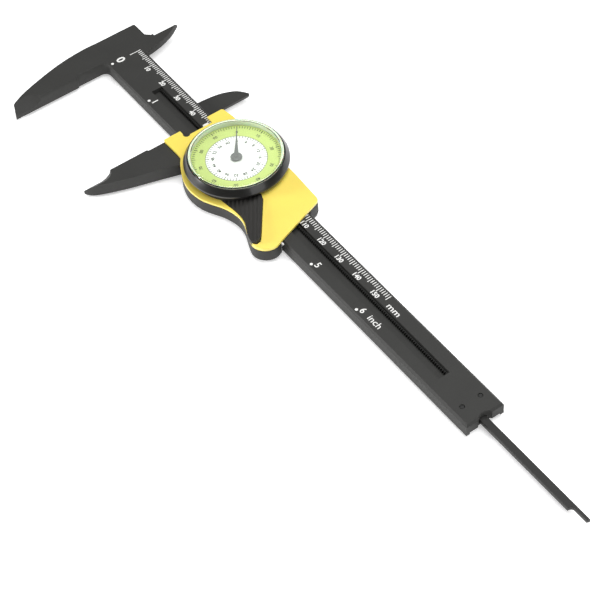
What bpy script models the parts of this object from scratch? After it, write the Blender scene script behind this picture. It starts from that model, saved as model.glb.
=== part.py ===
"""Dial caliper, 150 mm, moulded plastic, with a beam, a slider, a dial and a depth rod.

Lengths are millimetres and the model is written in metres. While it is built, X runs along the beam from
its zero mark, Y across it towards the inside jaws and Z up from the slider's back. At the end everything
is placed from the fixed measuring face, the face that the instrument measures from.
"""
import math

import bmesh
import bpy
from mathutils import Matrix, Vector

MM = 0.001

# Fits
SEAT = 0.2
RUNNING = 0.3
BORE_PLAY = 0.12
GEAR_PLAY = 0.06

# Beam
BEAM_END = 212.0
BEAM_WIDTH = 15.2
BEAM_THICKNESS = 5.0
BEAM_CHAMFER = 0.8
SLIDER_FLOOR = 1.1
FIXED_FACE = -1.75
HEAD_LEFT = -14.1
HEAD_TOP = 12.7
JAW_TIP = -47.5
JAW_RELIEF = 0.6
JAW_RELIEF_END = -20.0
JAW_FILLET = 2.5
FACE_POINT = -28.0
KNIFE_START = -36.0
KNIFE_FULL = -40.0
KNIFE_WIDTH = 3.6
KNIFE_DEPTH = 3.4
INSIDE_TIP = 26.0
INSIDE_EDGE = -2.9
INSIDE_BEVEL = 1.1

# Groove, rack and rod
GROOVE_START = 22.0
GROOVE_END = 191.8
GROOVE_WIDTH = 4.5
GROOVE_CENTRE = -0.45
GROOVE_DEPTH = 2.0
RACK_BACK = 0.4
RACK_HEIGHT = 1.1
ROD_WIDTH = 2.8
ROD_HEIGHT = 1.5
ROD_ROOT = 38.0
ROD_TIP_LENGTH = 6.4
ROD_TIP_WIDTH = 1.1
ROD_MARGIN = 1.5
CLOSED_GAP = 0.1
END_PLATE_LENGTH = 10.5
END_PLATE_WIDTH = 12.0
END_PLATE_THICKNESS = 0.6
RIVET_MARGIN = 2.3
RIVET_RADIUS = 0.8
RIVET_FROM_END = 7.0

# Slider, measured from its own measuring face
OPENING = 48.1
SLIDER_LEFT = 0.4
SLIDER_LOW = -13.5
SLIDER_TOP = 13.0
SLIDER_CORNER = 59.0
BACK_ROUNDING = 1.8
RAIL_CUT = 4.4
COVER_THICKNESS = 0.8
PANEL_RISE = 1.5
PANEL_CREASE = 46.8
PANEL_END = 60.0
PANEL_DIRECTION = (0.943, 0.334)
THUMB_FLOOR = 0.3
SCOOP_DEPTH = 2.0
SCOOP_WIDTH = 12.0
RIB_HEIGHT = 0.18
RIB_PITCH = 1.45
NOTCH_DEPTH = 3.5
NOTCH_LOW = -6.3
NOTCH_HIGH = 5.5
NOTCH_SCOOP = 1.35
GIB_THICKNESS = 0.6
GIB_HEIGHT = 4.9
GIB_START = 4.9
GIB_END = 67.2
INDEX_LOW = 1.9
INDEX_WIDTH = 2.2
INDEX_REACH = 0.9

# Dial
DIAL_X = 27.8
BEZEL_RADIUS = 18.9
BEZEL_WALL = 1.8
BEZEL_OVERHANG = 1.7
BEZEL_SHOULDER = 0.7
BEZEL_RIM = 0.35
HOUSING_RIM = 0.9
HOUSING_THICKNESS = 2.7
BEZEL_HEIGHT = 3.1
DIAL_THICKNESS = 0.2
DIAL_HOLE = 1.2
LENS_RISE = 0.7
LENS_THICKNESS = 1.1
LENS_WALL = 0.75
CHANNEL_WIDTH = 1.8
CHANNEL_DEPTH = 0.7
SPIGOT_WALL = 0.6
SPRING_WIRE = 0.25
POINTER_REACH = 14.3
POINTER_ANGLE = math.radians(145)
POINTER_HUB = 2.1
POINTER_THICKNESS = 0.35

# Gear train
INCH = 25.4
PINION_TEETH = 10
RACK_TEETH_PER_INCH = 27
TRANSFER_TEETH = 20
POINTER_TEETH = 54
TRAIN_MODULE = 0.2
GEAR_THICKNESS = 0.5
SHAFT_RADIUS = 0.5
BUSH_RADIUS = 1.1
PLATE_RADIUS = 12.5
PLATE_THICKNESS = 0.6
PINION_OPENING = 2.3
SCREW_RADIUS = 0.8
SCREW_HEAD = 1.4
SCREW_HEAD_HEIGHT = 1.0
SCREW_INSET = 2.0
SCREW_HIGH = 10.4
SCREW_LOW = -11.4
ROD_PINS = (3.0, 8.0)

# Levels
BEAM_BOTTOM = SLIDER_FLOOR + RUNNING
BEAM_TOP = BEAM_BOTTOM + BEAM_THICKNESS
MIDDLE = (BEAM_BOTTOM + BEAM_TOP) / 2
COVER_BOTTOM = BEAM_TOP + SEAT
COVER_TOP = COVER_BOTTOM + COVER_THICKNESS
HOUSING_BOTTOM = COVER_TOP + SEAT
HOUSING_TOP = HOUSING_BOTTOM + HOUSING_THICKNESS
BEZEL_BOTTOM = HOUSING_TOP + SEAT
BEZEL_TOP = BEZEL_BOTTOM + BEZEL_HEIGHT
DIAL_BOTTOM = BEZEL_BOTTOM + 0.4
DIAL_TOP = DIAL_BOTTOM + DIAL_THICKNESS
GROOVE_FLOOR = BEAM_TOP - GROOVE_DEPTH
ROD_BOTTOM = BEAM_BOTTOM + END_PLATE_THICKNESS + SEAT
ROD_TOP = ROD_BOTTOM + ROD_HEIGHT
PLATE_BOTTOM = COVER_TOP + SEAT
PLATE_TOP = PLATE_BOTTOM + PLATE_THICKNESS
GEAR_BOTTOM = PLATE_TOP + SEAT
GEAR_TOP = GEAR_BOTTOM + GEAR_THICKNESS
SCREW_TOP = GEAR_TOP + 0.1

# Places
HALF = BEAM_WIDTH / 2
SLIDER_X = FIXED_FACE + OPENING
GROOVE_LOW = GROOVE_CENTRE - GROOVE_WIDTH / 2
GROOVE_HIGH = GROOVE_CENTRE + GROOVE_WIDTH / 2
RACK_PITCH = INCH / RACK_TEETH_PER_INCH
PINION_PITCH_RADIUS = PINION_TEETH * RACK_PITCH / (2 * math.pi)
PINION_MODULE = RACK_PITCH / math.pi
RACK_PITCH_LINE = GROOVE_HIGH - SEAT - RACK_BACK - 1.2 * PINION_MODULE
PINION_Y = RACK_PITCH_LINE - PINION_PITCH_RADIUS - GEAR_PLAY / 2
CENTRE_DISTANCE = TRAIN_MODULE * (TRANSFER_TEETH + POINTER_TEETH) / 2 + GEAR_PLAY / 2
PINION_X = DIAL_X + math.sqrt(CENTRE_DISTANCE ** 2 - PINION_Y ** 2)
CAVITY_RADIUS = PLATE_RADIUS + SEAT
SCREW_SPREAD = PLATE_RADIUS - SCREW_INSET
HOUSING_RADIUS = BEZEL_RADIUS - BEZEL_OVERHANG
CHANNEL_OUTER = HOUSING_RADIUS - HOUSING_RIM
CHANNEL_INNER = CHANNEL_OUTER - CHANNEL_WIDTH
RIVET_SPREAD = END_PLATE_WIDTH / 2 - RIVET_MARGIN
ROD_SLOT_START = FIXED_FACE + CLOSED_GAP + ROD_ROOT - ROD_MARGIN
SCREW_PLACES = [(DIAL_X + side * SCREW_SPREAD, y) for y in (SCREW_HIGH, SCREW_LOW) for side in (-1, 1)]

BLACK = ("black glass-filled plastic", (0.045, 0.045, 0.042), 0.55, 0.0)
YELLOW = ("yellow plastic", (0.95, 0.74, 0.09), 0.45, 0.0)
CLEAR = ("clear plastic", (0.86, 0.9, 0.9), 0.12, 0.0)
WHITE = ("white acetal", (0.85, 0.85, 0.83), 0.5, 0.0)
GREY = ("grey plastic", (0.16, 0.16, 0.155), 0.5, 0.0)
LIME = ("printed dial", (0.72, 0.85, 0.25), 0.5, 0.0)
BRASS = ("brass", (0.72, 0.55, 0.25), 0.35, 1.0)
STEEL = ("steel", (0.55, 0.56, 0.57), 0.35, 1.0)


def clear_scene():
    for obj in list(bpy.data.objects):
        bpy.data.objects.remove(obj, do_unlink=True)


def material(spec):
    name, colour, roughness, metallic = spec
    found = bpy.data.materials.get(name)
    if found:
        return found
    made = bpy.data.materials.new(name)
    made.use_nodes = True
    shader = made.node_tree.nodes["Principled BSDF"]
    shader.inputs["Base Color"].default_value = (*colour, 1)
    shader.inputs["Roughness"].default_value = roughness
    shader.inputs["Metallic"].default_value = metallic
    return made


def rounded(corners, steps=5):
    """Outline through (x, y, radius) corners, each turned with an arc."""
    points = []
    for i, (x, y, radius) in enumerate(corners):
        here = Vector((x, y))
        if radius <= 0:
            points.append(here)
            continue
        before = (Vector(corners[i - 1][:2]) - here).normalized()
        after = (Vector(corners[(i + 1) % len(corners)][:2]) - here).normalized()
        half = before.angle(after) / 2
        reach = radius / math.tan(half)
        centre = here + (before + after).normalized() * radius / math.sin(half)
        first = here + before * reach - centre
        last = here + after * reach - centre
        turn = math.atan2(first.x * last.y - first.y * last.x, first.dot(last))
        for k in range(steps + 1):
            points.append(centre + Matrix.Rotation(turn * k / steps, 2) @ first)
    return points


def spline(knots, steps=5):
    """Smooth line through the knots, both ends kept."""
    knots = [Vector(k) for k in knots]
    line = [knots[0]]
    for i in range(len(knots) - 1):
        a = knots[max(i - 1, 0)]
        b = knots[i]
        c = knots[i + 1]
        d = knots[min(i + 2, len(knots) - 1)]
        for k in range(1, steps + 1):
            t = k / steps
            line.append(0.5 * (2 * b + (c - a) * t + (2 * a - 5 * b + 4 * c - d) * t ** 2
                               + (3 * b - a - 3 * c + d) * t ** 3))
    return line


def circle(radius, x=0.0, y=0.0, steps=32):
    turns = [2 * math.pi * k / steps for k in range(steps)]
    return [Vector((x + radius * math.cos(a), y + radius * math.sin(a))) for a in turns]


def box_outline(x0, x1, y0, y1):
    return [Vector((x0, y0)), Vector((x1, y0)), Vector((x1, y1)), Vector((x0, y1))]


def grown(outline, distance):
    """Outline moved outwards by a distance, or inwards where it is negative."""
    result = []
    for i, here in enumerate(outline):
        before = here - outline[i - 1]
        after = outline[(i + 1) % len(outline)] - here
        normal = Vector((before.y, -before.x)).normalized() + Vector((after.y, -after.x)).normalized()
        normal = normal.normalized()
        share = max(0.5, normal.dot(Vector((after.y, -after.x)).normalized()))
        result.append(here + normal * distance / share)
    return result


def moved(outline, x, y=0.0):
    return [p + Vector((x, y)) for p in outline]


def stack(name, rings, spec, smooth=False):
    """Closed solid through outlines at rising heights; all have the same number of points."""
    mesh = bmesh.new()
    count = len(rings[0][0])
    levels = [[mesh.verts.new((p.x * MM, p.y * MM, z * MM)) for p in outline] for outline, z in rings]
    for low, high in zip(levels, levels[1:]):
        for i in range(count):
            j = (i + 1) % count
            mesh.faces.new((low[i], low[j], high[j], high[i])).smooth = smooth
    caps = [mesh.faces.new(levels[0][::-1]), mesh.faces.new(levels[-1])]
    mesh.normal_update()
    bmesh.ops.triangulate(mesh, faces=caps)
    return finished(name, mesh, spec)


def finished(name, mesh, spec=None, sharp=None):
    """Object from a closed bmesh, with its faces turned outwards."""
    bmesh.ops.recalc_face_normals(mesh, faces=mesh.faces)
    data = bpy.data.meshes.new(name)
    mesh.to_mesh(data)
    mesh.free()
    obj = bpy.data.objects.new(name, data)
    bpy.context.collection.objects.link(obj)
    if spec:
        data.materials.append(material(spec))
    if sharp:
        data.set_sharp_from_angle(angle=math.radians(sharp))
    return obj


def prism(name, outline, low, high, spec=BLACK, chamfer_low=0.0, chamfer_high=0.0, share=None, smooth=False):
    """Extruded outline with bevelled rims; share(point) scales the bevel along the outline."""
    def inset(amount):
        full = grown(outline, -amount)
        return [p.lerp(q, share(p) if share else 1.0) for p, q in zip(outline, full)]
    rings = []
    if chamfer_low:
        rings.append((inset(chamfer_low), low))
    rings.append((outline, low + chamfer_low))
    rings.append((outline, high - chamfer_high))
    if chamfer_high:
        rings.append((inset(chamfer_high), high))
    return stack(name, rings, spec, smooth)


def drum(name, profile, x, y, spec, steps=72):
    """Turned solid: a closed (radius, height) profile spun about a vertical axis; radius 0 is on the axis."""
    mesh = bmesh.new()
    poles = {i: mesh.verts.new((x * MM, y * MM, z * MM)) for i, (r, z) in enumerate(profile) if r == 0}
    columns = []
    for k in range(steps):
        angle = 2 * math.pi * k / steps
        columns.append([poles.get(i) or mesh.verts.new(((x + r * math.cos(angle)) * MM,
                                                        (y + r * math.sin(angle)) * MM, z * MM))
                        for i, (r, z) in enumerate(profile)])
    for here, there in zip(columns, columns[1:] + columns[:1]):
        for i in range(len(profile)):
            j = (i + 1) % len(profile)
            if i in poles and j in poles:
                continue
            corners = dict.fromkeys((here[i], there[i], there[j], here[j]))
            mesh.faces.new(tuple(corners)).smooth = True
    return finished(name, mesh, spec, 30)


def gathered(tools):
    """One tool out of several; the solver resolves where they cross."""
    mesh = bmesh.new()
    for tool in tools:
        mesh.from_mesh(tool.data)
        bpy.data.objects.remove(tool, do_unlink=True)
    return finished("tools", mesh)


def combine(target, tools, operation):
    """Exact boolean of a solid with all its tools at once, applied; the tools are used up."""
    tool = gathered(tools)
    tool.hide_render = True
    tool.display_type = "WIRE"
    change = target.modifiers.new(operation.lower(), "BOOLEAN")
    change.operation = operation
    change.solver = "EXACT"
    change.use_self = len(tools) > 1
    change.object = tool
    bpy.context.view_layer.update()
    seen = target.evaluated_get(bpy.context.evaluated_depsgraph_get())
    data = bpy.data.meshes.new_from_object(seen)
    old = target.data
    target.modifiers.clear()
    target.data = data
    data.name = target.name
    bpy.data.meshes.remove(old)
    bpy.data.objects.remove(tool, do_unlink=True)
    return target


def cut(target, *tools):
    return combine(target, tools, "DIFFERENCE")


def join(target, *tools):
    return combine(target, tools, "UNION")


def keep_inside(target, tool):
    return combine(target, (tool,), "INTERSECT")


def pin(radius, x, y, low, high, steps=16):
    """Round tool for a bore."""
    return prism("bore", circle(radius, x, y, steps), low, high)


def set_origin(obj, x, y, z):
    place = Vector((x, y, z)) * MM
    obj.data.transform(Matrix.Translation(-place))
    obj.location = place


def gear_outline(teeth, module, x=0.0, y=0.0, turn=0.0, backlash=0.04, steps=2):
    """Involute outline with 20 degree flanks, thinned by the backlash."""
    pressure = math.radians(20)
    pitch = teeth * module / 2
    base = pitch * math.cos(pressure)
    tip = pitch + module * 0.9
    root = pitch - module * 1.15
    involute = math.tan(pressure) - pressure
    half = math.pi / (2 * teeth) - backlash * module / pitch
    points = []
    for tooth in range(teeth):
        middle = turn + 2 * math.pi * tooth / teeth
        flank = []
        start = max(base, root)
        for k in range(steps + 1):
            radius = start + (tip - start) * k / steps
            alpha = math.acos(min(1.0, base / radius))
            flank.append((radius, half + involute - (math.tan(alpha) - alpha)))
        if root < base:
            flank.insert(0, (root, flank[0][1]))
        for radius, angle in flank:
            points.append((radius, middle - angle))
        for radius, angle in reversed(flank):
            points.append((radius, middle + angle))
    return [Vector((x + r * math.cos(a), y + r * math.sin(a))) for r, a in points]


def along(name, sections, spec=None):
    """Closed solid through (y, [(x, z), ...]) sections of as many points each."""
    mesh = bmesh.new()
    rings = [[mesh.verts.new((x * MM, y * MM, z * MM)) for x, z in points] for y, points in sections]
    count = len(rings[0])
    for near, far in zip(rings, rings[1:]):
        for i in range(count):
            mesh.faces.new((near[i], near[(i + 1) % count], far[(i + 1) % count], far[i]))
    caps = [mesh.faces.new(rings[0][::-1]), mesh.faces.new(rings[-1])]
    mesh.normal_update()
    bmesh.ops.triangulate(mesh, faces=caps)
    return finished(name, mesh, spec)


def bevel_section(edge, side, reach, depth, face, up):
    """Triangle that takes a bevel off an edge; side and up point out of the solid."""
    out = 0.5
    x0 = edge - side * reach * (1 + out / depth)
    x1 = edge + side * out
    z1 = face - up * depth * (1 + out / reach)
    return [(x0, face + up * out), (x1, face + up * out), (x1, z1)]


def knife(face, side):
    """Scooped bevel that thins an outside jaw's upper side towards its measuring face."""
    stages = ((0.05, KNIFE_START), (0.5, KNIFE_START - 0.6), (0.85, KNIFE_START - 2.2), (1.0, KNIFE_FULL),
              (1.0, JAW_TIP - 2))
    return along("knife", [(y, bevel_section(face, side, KNIFE_WIDTH * share, KNIFE_DEPTH * share, BEAM_TOP, 1))
                           for share, y in stages])


def inside_bevel(edge, side, low, high, up):
    """Bevel that leaves an inside jaw's measuring edge sharp on the plane where the two jaws meet."""
    face = high if up > 0 else low
    section = bevel_section(edge, side, INSIDE_BEVEL, (high - low) * 0.95, face, up)
    return along("bevel", [(HEAD_TOP + 2.2, section), (INSIDE_TIP + 2, section)])


def beam_outline():
    """Plan of the beam with the fixed outside jaw, the head and the fixed inside jaw."""
    back = spline([(HEAD_LEFT, -5.0), (-14.2, -11.0), (-13.3, -20.0), (-11.2, -29.5), (-8.0, -40.0),
                   (-5.2, -46.0)], 4)
    relieved = FIXED_FACE - JAW_RELIEF
    face = [Vector((FIXED_FACE, JAW_TIP)), Vector((FIXED_FACE, JAW_RELIEF_END - JAW_RELIEF)),
            Vector((relieved, JAW_RELIEF_END))]
    fillet = [Vector((relieved + JAW_FILLET * (1 - math.cos(a)), -HALF - JAW_FILLET * (1 - math.sin(a))))
              for a in (math.pi / 2 * k / 6 for k in range(7))]
    edge = FIXED_FACE + INSIDE_EDGE
    tip = INSIDE_TIP - 0.4
    bar = [Vector((BEAM_END, -HALF)), Vector((BEAM_END, HALF))]
    inside = spline([(FIXED_FACE + 4.4, HALF), (FIXED_FACE + 3.9, HALF + 3.5), (0.9, 16.0), (-1.3, 21.2),
                     (edge + 0.4, tip)], 3)
    head = rounded([(edge, tip, 0), (edge, HEAD_TOP + 1.6, 0), (edge - 1.4, HEAD_TOP, 0.8),
                    (HEAD_LEFT, HEAD_TOP, 1.2), (HEAD_LEFT, -5.0, 0)], 4)[:-1]
    return back + face + fillet + bar + inside + head


def beam():
    """Beam, fixed outside jaw and fixed inside jaw in one moulding."""
    def share(point):
        return 1.0 if abs(point.y) <= HALF + 1 and point.x > 2 else 0.15 if point.y > HEAD_TOP else 0.5
    bar = prism("beam", beam_outline(), BEAM_BOTTOM, BEAM_TOP, BLACK, 0, BEAM_CHAMFER, share)
    under = MIDDLE + RUNNING / 2
    below = BEAM_BOTTOM - 1
    above = BEAM_TOP + 1
    half_slot = ROD_WIDTH / 2 + SEAT
    half_plate = END_PLATE_WIDTH / 2 + SEAT
    plate_start = BEAM_END - END_PLATE_LENGTH - 1 - SEAT
    tools = [
        prism("head underside", box_outline(HEAD_LEFT - 1, FIXED_FACE + 8, HALF - 0.05, INSIDE_TIP + 1), below, under),
        inside_bevel(FIXED_FACE + INSIDE_EDGE, -1, under, BEAM_TOP, 1),
        knife(FIXED_FACE, 1),
        prism("groove", box_outline(GROOVE_START, GROOVE_END, GROOVE_LOW, GROOVE_HIGH), GROOVE_FLOOR, above),
        prism("rod slot", box_outline(ROD_SLOT_START, BEAM_END + 1, -half_slot, half_slot), below, ROD_TOP + SEAT),
        prism("end recess", box_outline(plate_start, BEAM_END + 2, -half_plate, half_plate), below - 0.1,
              BEAM_BOTTOM + END_PLATE_THICKNESS + SEAT),
        prism("end scoop", circle(3.4, BEAM_END + 1.9, 0.01, 48), below - 0.2, above)]
    for side in (-1, 1):
        tools.append(pin(RIVET_RADIUS + BORE_PLAY, BEAM_END - RIVET_FROM_END, side * RIVET_SPREAD, below - 0.3, above))
    return cut(bar, *tools)


def rack():
    """Toothed strip that lies along the groove's upper wall, teeth towards the rod's side."""
    back = GROOVE_HIGH - SEAT
    start = GROOVE_START + SEAT
    end = GROOVE_END - SEAT
    root = RACK_PITCH_LINE + 1.15 * PINION_MODULE
    tip = RACK_PITCH_LINE - 0.9 * PINION_MODULE
    slope = math.tan(math.radians(20))
    half = RACK_PITCH / 4 - 0.05
    wide = half + (root - RACK_PITCH_LINE) * slope
    narrow = half - (RACK_PITCH_LINE - tip) * slope
    gap_at_pinion = SLIDER_X + PINION_X + RACK_PITCH / 2
    first = math.ceil((start + half * 2 - gap_at_pinion) / RACK_PITCH)
    last = math.floor((end - half * 2 - gap_at_pinion) / RACK_PITCH)
    outline = [Vector((end, root)), Vector((end, back)), Vector((start, back)), Vector((start, root))]
    for k in range(first, last + 1):
        x = gap_at_pinion + k * RACK_PITCH
        outline += [Vector(p) for p in ((x - wide, root), (x - narrow, tip), (x + narrow, tip), (x + wide, root))]
    low = GROOVE_FLOOR + SEAT / 2
    return prism("rack", outline, low, low + RACK_HEIGHT, BLACK)


def end_parts():
    """Plate that closes the rod's slot at the beam's end, and its two rivets."""
    x1 = BEAM_END - 1
    x0 = x1 - END_PLATE_LENGTH
    half = END_PLATE_WIDTH / 2
    outline = rounded([(x0, -half, 1), (x1, -half, 1), (x1, half, 1), (x0, half, 1)])
    plate = prism("end_plate", outline, BEAM_BOTTOM + 0.05, BEAM_BOTTOM + END_PLATE_THICKNESS, BLACK)
    x = BEAM_END - RIVET_FROM_END
    cut(plate, *[pin(RIVET_RADIUS + BORE_PLAY, x, side * RIVET_SPREAD, 0, BEAM_TOP) for side in (-1, 1)])
    for number, side in enumerate((-1, 1), 1):
        prism(f"end_rivet_{number}", circle(RIVET_RADIUS, x, side * RIVET_SPREAD, 16), BEAM_BOTTOM + 0.1,
              BEAM_TOP - 0.15, STEEL, 0.1, 0.1, smooth=True)


def thumb_edge():
    """Lower edge of the slider: round the dial, into the thumb rest and round the lug."""
    return spline([(13.7, -15.0), (15.6, -16.1), (19.5, -18.1), (23.5, -19.4), (27.8, -19.8), (32.7, -19.1),
                   (36.9, -17.3), (40.8, -15.2), (44.8, -13.9), (48.5, -13.4), (52.4, -14.0), (56.2, -15.5),
                   (60.0, -16.9), (62.4, -17.2), (64.6, -16.5), (66.4, -14.9), (67.4, -12.7), (67.4, -10.6),
                   (66.5, -8.4)], 2)


def cover_outline():
    start = [(SLIDER_LEFT, SLIDER_TOP - 0.8, 0.8), (SLIDER_LEFT, SLIDER_LOW, 0.6), (9.0, -13.3, 0), (11.8, -13.5, 0)]
    edge = [(p.x, p.y, 0) for p in thumb_edge()]
    return rounded(start + edge + [(SLIDER_CORNER, SLIDER_TOP, 1.8), (6.0, SLIDER_TOP, 0)], 4)


def base_outline():
    """Plan of the slider's base with both moving jaws."""
    outer = spline([(1.2, -46.9), (3.6, -44.0), (7.6, -34.1), (11.4, -22.0), (13.7, -15.0)], 4)
    jaw = [Vector((JAW_RELIEF, JAW_RELIEF_END)), Vector((0, JAW_RELIEF_END - JAW_RELIEF)), Vector((0, JAW_TIP))]
    end_of_edge = thumb_edge()[-1]
    right = rounded([(*end_of_edge, 0), (SLIDER_CORNER, SLIDER_TOP, 1.8), (0.4, SLIDER_TOP, 0)], 4)[1:]
    inside = [Vector((-1.9, 13.6)), Vector((INSIDE_EDGE, 15.0)), Vector((INSIDE_EDGE, INSIDE_TIP))]
    left = spline([(INSIDE_EDGE - 0.6, INSIDE_TIP + 0.4), (-7.4, 23.4), (-9.8, 18.5), (-10.8, 13.4),
                   (-11.2, HALF + RUNNING)], 4)
    end = [Vector((SLIDER_LEFT, HALF + RUNNING)), Vector((SLIDER_LEFT, -HALF)), Vector((JAW_RELIEF, -HALF - 1))]
    return jaw + outer + thumb_edge()[1:] + right + inside + left + end


def slider_base():
    """Channel that runs on the beam, with both moving jaws and the lug."""
    x = SLIDER_X

    def share(point):
        """The back is rounded most along the thumb rest, least on the jaws."""
        on_jaws = point.x - x < 13.9 and abs(point.y) > 12.5 or point.x - x < SLIDER_LEFT + 0.1
        if on_jaws:
            return 0.1
        return 0.3 if point.y > HALF else 1.0
    base = prism("slider_base", moved(base_outline(), x), 0, BEAM_TOP, BLACK, BACK_ROUNDING, 0, share)
    channel_low = -HALF - GIB_THICKNESS - 1.5 * SEAT
    meeting = MIDDLE - RUNNING / 2
    corner = [Vector(p) for p in ((-1.5, -HALF - 4), (0.5, -HALF - 4), (4.5, -HALF + 1), (-1.5, -HALF + 1))]
    tools = [
        prism("channel", box_outline(x - 5, x + 80, channel_low, HALF + RUNNING), SLIDER_FLOOR, BEAM_TOP + 1),
        prism("rail end", box_outline(x - 15, x + RAIL_CUT, HALF, INSIDE_TIP + 1), meeting, BEAM_TOP + 1.1),
        prism("inside jaw underside", box_outline(x - 15.1, x + SLIDER_LEFT, HALF + 0.1, INSIDE_TIP + 1.1), -1,
              BEAM_BOTTOM),
        prism("jaw underside", box_outline(x - 1, x + 14.5, JAW_TIP - 1, SLIDER_LOW - 0.2), -1.1, BEAM_BOTTOM),
        prism("corner", moved(corner, x), SLIDER_FLOOR - 0.05, BEAM_TOP + 1.2),
        inside_bevel(x + INSIDE_EDGE, 1, BEAM_BOTTOM, meeting, -1),
        knife(x, -1)]
    for place in SCREW_PLACES:
        tools.append(screw_bore(x + place[0], place[1]))
    for reach in ROD_PINS:
        tools.append(pin(SCREW_RADIUS + BORE_PLAY, x + ROD_ROOT + reach, 0, -1.2, SLIDER_FLOOR + 1))
    return cut(base, *tools)


def screw_bore(x, y):
    """Stepped tool for a cover screw: counterbore below, clearance hole above."""
    head = SCREW_HEAD + SEAT
    shank = SCREW_RADIUS + BORE_PLAY
    step = SCREW_HEAD_HEIGHT + SEAT
    return drum("screw bore", [(0, -1.3), (head, -1.3), (head, step), (shank, step), (shank, BEAM_TOP + 1.3),
                               (0, BEAM_TOP + 1.3)], x, y, BLACK, 16)


def cover_screws():
    """Four screws that clamp the cover between the base and the dial housing, from the back."""
    for number, (x, y) in enumerate(SCREW_PLACES, 1):
        x += SLIDER_X
        screw = drum(f"cover_screw_{number}", [(0, 0.1), (SCREW_HEAD, 0.1), (SCREW_HEAD, SCREW_HEAD_HEIGHT),
                                               (SCREW_RADIUS, SCREW_HEAD_HEIGHT), (SCREW_RADIUS, SCREW_TOP - 0.4),
                                               (0, SCREW_TOP)], x, y, STEEL, 16)
        cut(screw, prism("slot", box_outline(x - SCREW_HEAD - 1, x + SCREW_HEAD + 1, y - 0.3, y + 0.3), -1, 0.5))


def thumb_outline():
    """Plan of the thumb scoop: along the slider's edge and back beside the yellow panel."""
    edge = spline([(36.0, -14.0), (41.2, -13.3), (44.8, -12.85), (48.2, -12.7), (51.6, -13.2), (54.4, -14.5),
                   (57.2, -16.0), (60.0, -17.0)], 2)
    panel = [Vector(p) for p in ((61.7, -17.1), (62.9, -16.1), (62.7, -14.4), (61.3, -13.1), (51.7, -5.8),
                                 (48.0, -3.0), (45.9, -2.2), (42.5, -1.8), (36.0, -1.8))]
    return edge + panel


def low_area():
    """Plan of the part of the cover that is thin all through: everything but the panel beside the thumb scoop."""
    reach = HOUSING_RADIUS + SEAT
    arc = [Vector((DIAL_X + reach * math.cos(a), reach * math.sin(a)))
           for a in (math.radians(-20 + 110 * k / 24) for k in range(25))]
    return [Vector((-1, -25)), Vector((57, -25)), Vector((57, -13)), Vector((44, -8))] + arc + [Vector((-1, reach))]


def panel_slope():
    """Tool that slopes the panel down from its crease to the slider's end."""
    fall = PANEL_RISE / (PANEL_END - PANEL_CREASE)
    high = COVER_TOP + PANEL_RISE
    profile = [(PANEL_CREASE - 3, high + 3 * fall), (PANEL_END + 5, COVER_TOP - 5 * fall),
               (PANEL_END + 5, high + 2), (PANEL_CREASE - 3, high + 2)]
    sections = []
    for y in (-26.0, 20.0):
        sections.append((y, [(SLIDER_X + (reach - PANEL_DIRECTION[1] * y) / PANEL_DIRECTION[0], z)
                             for reach, z in profile]))
    return along("panel slope", sections)


def cover():
    """Yellow plate over the beam, with the reading notch and the sloping panel."""
    x = SLIDER_X
    high = COVER_TOP + PANEL_RISE
    top = prism("cover", moved(cover_outline(), x), COVER_BOTTOM, high, YELLOW)
    left = SLIDER_LEFT - 3
    edge = SLIDER_LEFT + NOTCH_DEPTH
    notch = rounded([(left, NOTCH_LOW, 0), (edge, NOTCH_LOW, 0.8), (edge, NOTCH_HIGH, 0.6), (left, NOTCH_HIGH, 0)])
    tools = [
        prism("notch", moved(notch, x), COVER_BOTTOM - 1, high + 1),
        prism("scoop", circle(NOTCH_SCOOP, x + edge - 0.8, NOTCH_LOW + 1, 20), COVER_BOTTOM - 1.3, high + 1.3),
        prism("thumb", moved(grown(thumb_outline(), SEAT), x), COVER_BOTTOM + THUMB_FLOOR, high + 1.1),
        prism("low area", moved(low_area(), x), COVER_TOP, high + 1.2),
        panel_slope(),
        pin(PINION_OPENING, x + PINION_X, PINION_Y, COVER_BOTTOM - 1.1, high + 1.4, 24)]
    for place in SCREW_PLACES:
        tools.append(pin(SCREW_RADIUS + BORE_PLAY, x + place[0], place[1], COVER_BOTTOM - 1.2, high + 1.5))
    return cut(top, *tools)


def housing():
    """Round dial housing over the movement, with the ribbed thumb scoop."""
    x = SLIDER_X + DIAL_X
    channel = HOUSING_TOP - CHANNEL_DEPTH
    ceiling = GEAR_TOP + SEAT
    body = drum("dial_housing", [(0, ceiling), (CAVITY_RADIUS, ceiling), (CAVITY_RADIUS, HOUSING_BOTTOM),
                                 (HOUSING_RADIUS, HOUSING_BOTTOM), (HOUSING_RADIUS, HOUSING_TOP - 0.2),
                                 (HOUSING_RADIUS - 0.2, HOUSING_TOP), (CHANNEL_OUTER, HOUSING_TOP),
                                 (CHANNEL_OUTER, channel), (CHANNEL_INNER, channel), (CHANNEL_INNER, HOUSING_TOP),
                                 (0, HOUSING_TOP)], x, 0, BLACK)
    horn = prism("horn", moved(thumb_outline(), SLIDER_X), COVER_BOTTOM + THUMB_FLOOR + SEAT, HOUSING_TOP - 0.25)
    keep_inside(horn, rib_sweep())
    cut(horn, prism("dial", circle(CHANNEL_OUTER + 0.4, x, 0, 80), HOUSING_BOTTOM - 4, HOUSING_TOP + 1))
    join(body, horn)
    bore = SHAFT_RADIUS + BORE_PLAY
    tools = [pin(bore, x, 0, HOUSING_BOTTOM - 1, HOUSING_TOP + 1),
             pin(bore, SLIDER_X + PINION_X, PINION_Y, HOUSING_BOTTOM - 1.1, HOUSING_TOP + 1.1)]
    for place in SCREW_PLACES:
        tools.append(pin(SCREW_RADIUS + BORE_PLAY, SLIDER_X + place[0], place[1], HOUSING_BOTTOM - 1.2,
                         SCREW_TOP + SEAT))
    return cut(body, *tools)


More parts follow.
